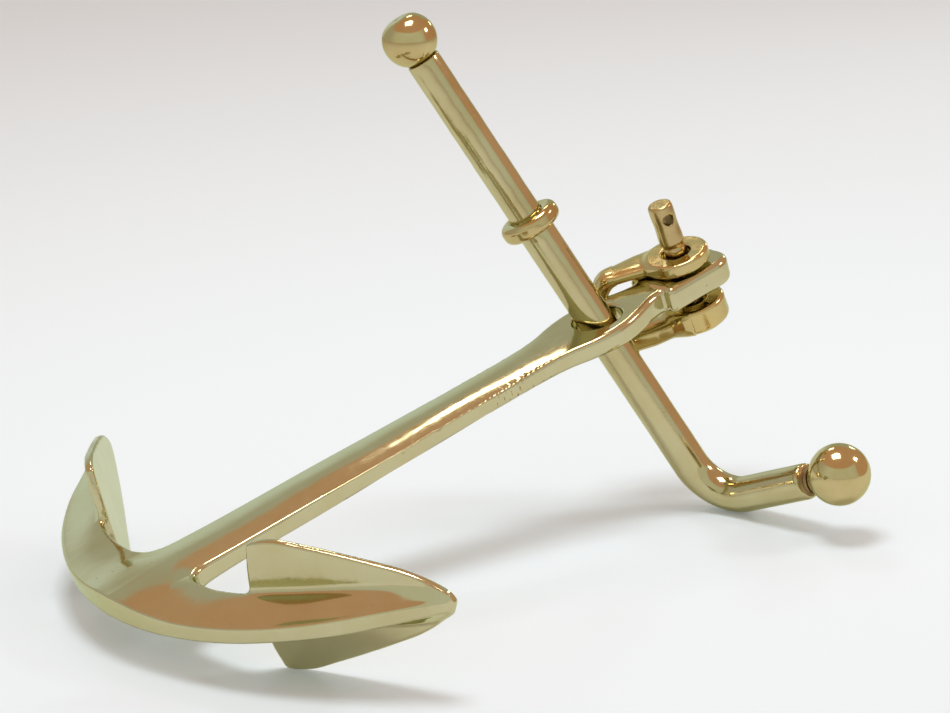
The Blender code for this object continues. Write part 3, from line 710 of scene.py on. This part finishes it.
ball_points, ball_faces = turned(rounded(BALL_END_R, THREAD_CREST_R + 1.1, end_face, 2.0, 5.0, 0.02), 96)
ball_end = place_mesh("stock_end_ball", in_stock(on_bent_arm(ball_points, STOCK_ARM)), ball_faces)
close_poles(ball_end)
ball_bronze = bright_bronze(
    "buffed_ball", (0.59, 0.485, 0.235), (0.50, 0.37, 0.15), (700.0, 700.0, 700.0), 0.07, 0.5)
ball_end.data.materials.append(ball_bronze)
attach(ball_end, "stock")
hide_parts("stock_ball_end")

top_points, top_faces = turned(rounded(BALL_TOP_R, spigot_r + 1.1, top_face, 1.3, 8.4, 0.16), 96)
top_points[:, 2] += STOCK_TOP
ball_top = place_mesh("stock_top_ball", in_stock(top_points), top_faces)
close_poles(ball_top)
ball_top.data.materials.append(ball_bronze)
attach(ball_top, "stock")
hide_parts("stock_ball_top")

collar_profile = [(BAR_UPPER_R + 0.12, -COLLAR_H / 2)]
for corner in range(2):
    cz = (-COLLAR_H / 2 + COLLAR_ROUND) if corner == 0 else (COLLAR_H / 2 - COLLAR_ROUND)
    for s in range(13):
        a = math.radians((-90 + 90 * s / 12) if corner == 0 else (90 * s / 12))
        r = COLLAR_R - COLLAR_ROUND + COLLAR_ROUND * math.cos(a)
        collar_profile.append((r, cz + COLLAR_ROUND * math.sin(a)))
collar_profile += [(BAR_UPPER_R + 0.7, COLLAR_H / 2), (BAR_UPPER_R + 0.12, COLLAR_H / 2 - 0.45)]
collar_points, collar_faces = turned(collar_profile, 96)
collar_points[:, 2] += STOCK_COLLAR
collar = place_mesh("stock_collar_ring", in_stock(collar_points), collar_faces)
close_poles(collar)
collar.data.materials.append(ball_bronze)
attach(collar, "stock_slider")
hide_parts("stock_collar")

# ---- The shackle --------------------------------------------------------------
# Forged bronze D shackle with round ears, folded back along the far side of the
# head. It swings on the pin.
SHACKLE_EAR_R = 11.6
SHACKLE_REACH = 32.5
SHACKLE_FOLD = math.radians(180 - 37.0)
PIN_LEAN = math.radians(-5.0)
EAR_TOP = (6.065, 11.065)
EAR_LOW = (-18.15, -8.75)
LOW_DROP = 2.0
PIN_MID = (EAR_TOP[1] + EAR_LOW[0]) / 2
BOW_R = (sum(EAR_TOP) - sum(EAR_LOW) + 2 * LOW_DROP) / 4
BOW_MID = (sum(EAR_TOP) + sum(EAR_LOW) - 2 * LOW_DROP) / 4
BOW_DEPTH = 0.72
BOW_START = SHACKLE_REACH - BOW_R * BOW_DEPTH
JAW_REACH = 20.0


def along_pin(p):
    """Points turned into the leaning axes of the pin, measured from its axis."""
    dx, dz = p[:, 0] - PIN_X, p[:, 2] - PIN_MID
    x = dx * math.cos(PIN_LEAN) - dz * math.sin(PIN_LEAN)
    z = dx * math.sin(PIN_LEAN) + dz * math.cos(PIN_LEAN) + PIN_MID
    return x, p[:, 1], z


def shackle_body(p):
    """Two ears on the pin, and the bow that runs from one round to the other."""
    dx, dy, z = along_pin(p)
    out = dx * math.cos(SHACKLE_FOLD) + dy * math.sin(SHACKLE_FOLD)
    side = -dx * math.sin(SHACKLE_FOLD) + dy * math.cos(SHACKLE_FOLD)
    ring = np.hypot(out, side) - SHACKLE_EAR_R
    top = edge_round(ring, np.abs(z - sum(EAR_TOP) / 2) - (EAR_TOP[1] - EAR_TOP[0]) / 2, 1.3)
    low = edge_round(ring, np.abs(z - sum(EAR_LOW) / 2) - (EAR_LOW[1] - EAR_LOW[0]) / 2, 1.8)
    ahead = np.maximum(out - BOW_START, 0.0) / BOW_DEPTH
    rise = z - BOW_MID
    path = np.hypot(ahead, rise) - BOW_R
    level = np.clip((out - 5.0) / 13.0, 0.0, 1.0)
    level = level * level * (3 - 2 * level)
    reach = np.where(rise > 0, BOW_R, BOW_R - LOW_DROP * (1 - level))
    path = np.where(out > BOW_START, path * 0.85, np.abs(rise) - reach)
    turn = np.clip((out - BOW_START) / 7.0, 0.0, 1.0)
    turn = turn * turn * (3 - 2 * turn)
    lower = np.clip(0.5 - rise / 12.0, 0.0, 1.0)
    thick = 2.3 + 1.95 * lower * (1 - turn) + 1.4 * turn
    wide = 4.3 + 1.9 * np.clip((15.0 - out) / 10.0, 0.0, 1.0) ** 1.5
    flare_top = 5.4 * (1 - lower) * np.clip((30.0 - out) / 15.0, 0.0, 1.0)
    flare_low = 5.2 * lower * (1 - 0.75 * turn)
    middle = (flare_low - flare_top) / 2
    half = wide + (flare_low + flare_top) / 2
    rod = ((np.abs(path) / thick) ** 3 + (np.abs(side - middle) / half) ** 3 + 1e-9) ** (1 / 3)
    rod = np.maximum((rod - 1.0) * 2.7, 3.0 - out)
    bow = melt(rod, melt(top, low, 0.5), 2.4)
    bow = carve(bow, PIN_HOLE_R - np.hypot(dx, dy), 0.9)
    jaw = np.abs(z - (EAR_TOP[0] + EAR_LOW[1]) / 2) - (EAR_TOP[0] - EAR_LOW[1]) / 2
    bow = carve(bow, -np.maximum(jaw, out - JAW_REACH), 0.4)
    dress = np.sin(out / 2.3 + side / 3.1) * np.sin(z / 2.9 + side / 2.2)
    return bow + 0.05 * dress


SHACKLE_STEP = 0.42
points, faces, normals = grow_surface(shackle_body, (216.0, -14.0, -25.0), (268.0, 30.0, 15.0), SHACKLE_STEP)
shackle = place_mesh("shackle_bow", points, faces, normals)
shackle.data.materials.append(bright_bronze(
    "shackle_bronze", (0.62, 0.47, 0.185), (0.53, 0.42, 0.20), (300.0, 300.0, 500.0), 0.12, 0.85))
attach(shackle, "shackle")
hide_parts("shackle")

# ---- The shackle pin -------------------------------------------------------------
# Turned bronze pin with a shouldered head, cross-drilled for a lanyard. It
# stands a little out of the ears and leans in its loose holes.
PIN_R = 4.0
PIN_HEAD_R = 4.4
PIN_HEAD_LOW = EAR_TOP[1] + 3.9
PIN_HEAD_TOP = PIN_HEAD_LOW + 16.0
PIN_LOW = EAR_LOW[0] + 0.6
CROSS_HOLE_R = 2.1
CROSS_TURN = math.radians(-12.0)
PIN_STEP = 0.34


def pin_body(p):
    """Plain shaft, a slight neck and a head with a cross hole."""
    x, y, z = along_pin(p)
    r = np.hypot(x, y)
    shaft_end = np.abs(z - (PIN_LOW + PIN_HEAD_LOW) / 2) - (PIN_HEAD_LOW - PIN_LOW) / 2 - 0.3
    shaft = edge_round(r - PIN_R, shaft_end, 0.5)
    neck = 0.3 * np.exp(-((z - PIN_HEAD_LOW + 1.0) / 0.7) ** 2)
    head_r = PIN_HEAD_R + 0.1 * np.sin((z - PIN_HEAD_LOW) / 1.6)
    middle = (PIN_HEAD_LOW + PIN_HEAD_TOP) / 2
    head = edge_round(r - head_r, np.abs(z - middle) - (PIN_HEAD_TOP - PIN_HEAD_LOW) / 2, 0.9)
    body = melt(shaft + neck, head, 0.4)
    u = x * math.cos(CROSS_TURN) + y * math.sin(CROSS_TURN)
    hole = CROSS_HOLE_R - np.hypot(u, z - (PIN_HEAD_TOP - 5.4))
    return carve(body, hole, 0.5)


points, faces, normals = grow_surface(pin_body, (245.0, -6.0, -17.0), (261.0, 6.0, 33.0), PIN_STEP)
pin = place_mesh("shackle_pin_turned", points, faces, normals)
pin.data.materials.append(bright_bronze(
    "pin_bronze", (0.56, 0.44, 0.205), (0.44, 0.29, 0.12), (500.0, 500.0, 300.0), 0.17, 0.85))
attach(pin, "pin")
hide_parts("shackle_pin")

# ---- The table, the light and the camera ------------------------------------------
# A pale plain table under soft studio light: a grey room that is paler in front
# and low down at the back, a warm ceiling and right wall, and four soft lamps.
TABLE_HALF = 4.0
TABLE_Z = -0.0004

floor_mesh = bpy.data.meshes.new("table_top")
table_corners = [(u * TABLE_HALF, v * TABLE_HALF, TABLE_Z) for u, v in ((-1, -1), (1, -1), (1, 1), (-1, 1))]
floor_mesh.from_pydata(table_corners, [], [(0, 1, 2, 3)])
floor = bpy.data.objects.new("table_top", floor_mesh)
bpy.context.scene.collection.objects.link(floor)
pale = bpy.data.materials.new("pale_table")
pale.use_nodes = True
pale_shader = pale.node_tree.nodes["Principled BSDF"]
pale_shader.inputs["Base Color"].default_value = (0.70, 0.80, 0.86, 1.0)
pale_shader.inputs["Roughness"].default_value = 0.8
pale_shader.inputs["Specular IOR Level"].default_value = 0.1
pale_shader.inputs["Emission Color"].default_value = (1.0, 1.0, 1.0, 1.0)
pale_shader.inputs["Emission Strength"].default_value = 0.1
floor.data.materials.append(pale)

room = bpy.data.worlds.new("room")
bpy.context.scene.world = room
room.use_nodes = True
rn, rl = room.node_tree.nodes, room.node_tree.links
wash = rn["Background"]
look = rn.new("ShaderNodeTexCoord")


def facing(direction, start, stop):
    """0 to 1 as the sky direction turns towards the given one."""
    dot = rn.new("ShaderNodeVectorMath")
    dot.operation = "DOT_PRODUCT"
    dot.inputs[1].default_value = Vector(direction).normalized()
    rl.new(look.outputs["Generated"], dot.inputs[0])
    ramp = rn.new("ShaderNodeMapRange")
    ramp.interpolation_type = "SMOOTHSTEP"
    ramp.inputs["From Min"].default_value = start
    ramp.inputs["From Max"].default_value = stop
    rl.new(dot.outputs["Value"], ramp.inputs["Value"])
    return ramp.outputs["Result"]


def blend_sky(under, over_colour, mask):
    """Lays a colour over the sky so far, where the mask is 1."""
    mix = rn.new("ShaderNodeMix")
    mix.data_type = "RGBA"
    if isinstance(under, tuple):
        mix.inputs["A"].default_value = (*under, 1.0)
    else:
        rl.new(under, mix.inputs["A"])
    mix.inputs["B"].default_value = (*over_colour, 1.0)
    rl.new(mask, mix.inputs["Factor"])
    return mix.outputs["Result"]


GREY_WALL = (0.55, 0.56, 0.56)
PALE_FRONT = (0.70, 0.75, 0.72)
PALE_BACK = (0.80, 0.88, 1.05)
WARM_PAINT = (0.66, 0.42, 0.31)

sky = blend_sky(GREY_WALL, PALE_FRONT, facing((-0.6, -0.8, 0.1), 0.0, 0.7))
sky = blend_sky(sky, PALE_BACK, facing((0.2, 0.95, 0.14), 0.92, 0.985))
sky = blend_sky(sky, WARM_PAINT, facing((0.0, 0.0, 1.0), 0.59, 0.65))
sky = blend_sky(sky, WARM_PAINT, facing((0.95, -0.24, 0.22), 0.74, 0.80))
rl.new(sky, wash.inputs["Color"])
wash.inputs["Strength"].default_value = 1.0

for name, toward, distance, size, glow in (
    ("lamp_over", (-0.03, 0.02, 1.0), 1.1, (0.42, 0.42), 11.0),
    ("lamp_far", (0.34, 0.62, 0.70), 1.2, (0.20, 0.10), 12.0),
    ("lamp_right", (0.73, -0.40, 0.56), 1.1, (0.22, 0.16), 12.0),
    ("lamp_right_far", (0.87, 0.37, 0.34), 1.2, (0.14, 0.10), 12.0),
):
    light = bpy.data.lights.new(name, "AREA")
    light.shape = "RECTANGLE"
    light.size, light.size_y = size
    light.energy = glow * math.pi * size[0] * size[1]
    light.color = (0.93, 0.98, 1.0)
    lamp = bpy.data.objects.new(name, light)
    bpy.context.scene.collection.objects.link(lamp)
    aim = Vector(toward).normalized()
    lamp.location = aim * distance + Vector((0, 0, 0.06))
    lamp.rotation_euler = aim.to_track_quat("Z", "Y").to_euler()

camera = bpy.data.objects.new("camera", bpy.data.cameras.new("camera"))
bpy.context.scene.collection.objects.link(camera)
camera.data.sensor_width = 36.0
camera.data.lens = 125.05
# The camera's place in the anchor's millimetres, and its right, down and forward.
eye = (ACROSS @ np.array([-359.57, -901.07, 478.09]) + CROWN_AT) * MM
to_right = ACROSS @ np.array([0.7734, -0.5791, -0.2576])
to_up = -(ACROSS @ np.array([-0.4396, -0.1973, -0.8762]))
to_back = -(ACROSS @ np.array([0.4566, 0.791, -0.4072]))
camera_turn = Matrix([list(to_right), list(to_up), list(to_back)]).transposed()
camera.matrix_world = Matrix.Translation(Vector(eye.tolist())) @ camera_turn.to_4x4()
bpy.context.scene.camera = camera
bpy.context.scene.view_settings.view_transform = "Standard"
bpy.context.scene.cycles.use_denoising = True
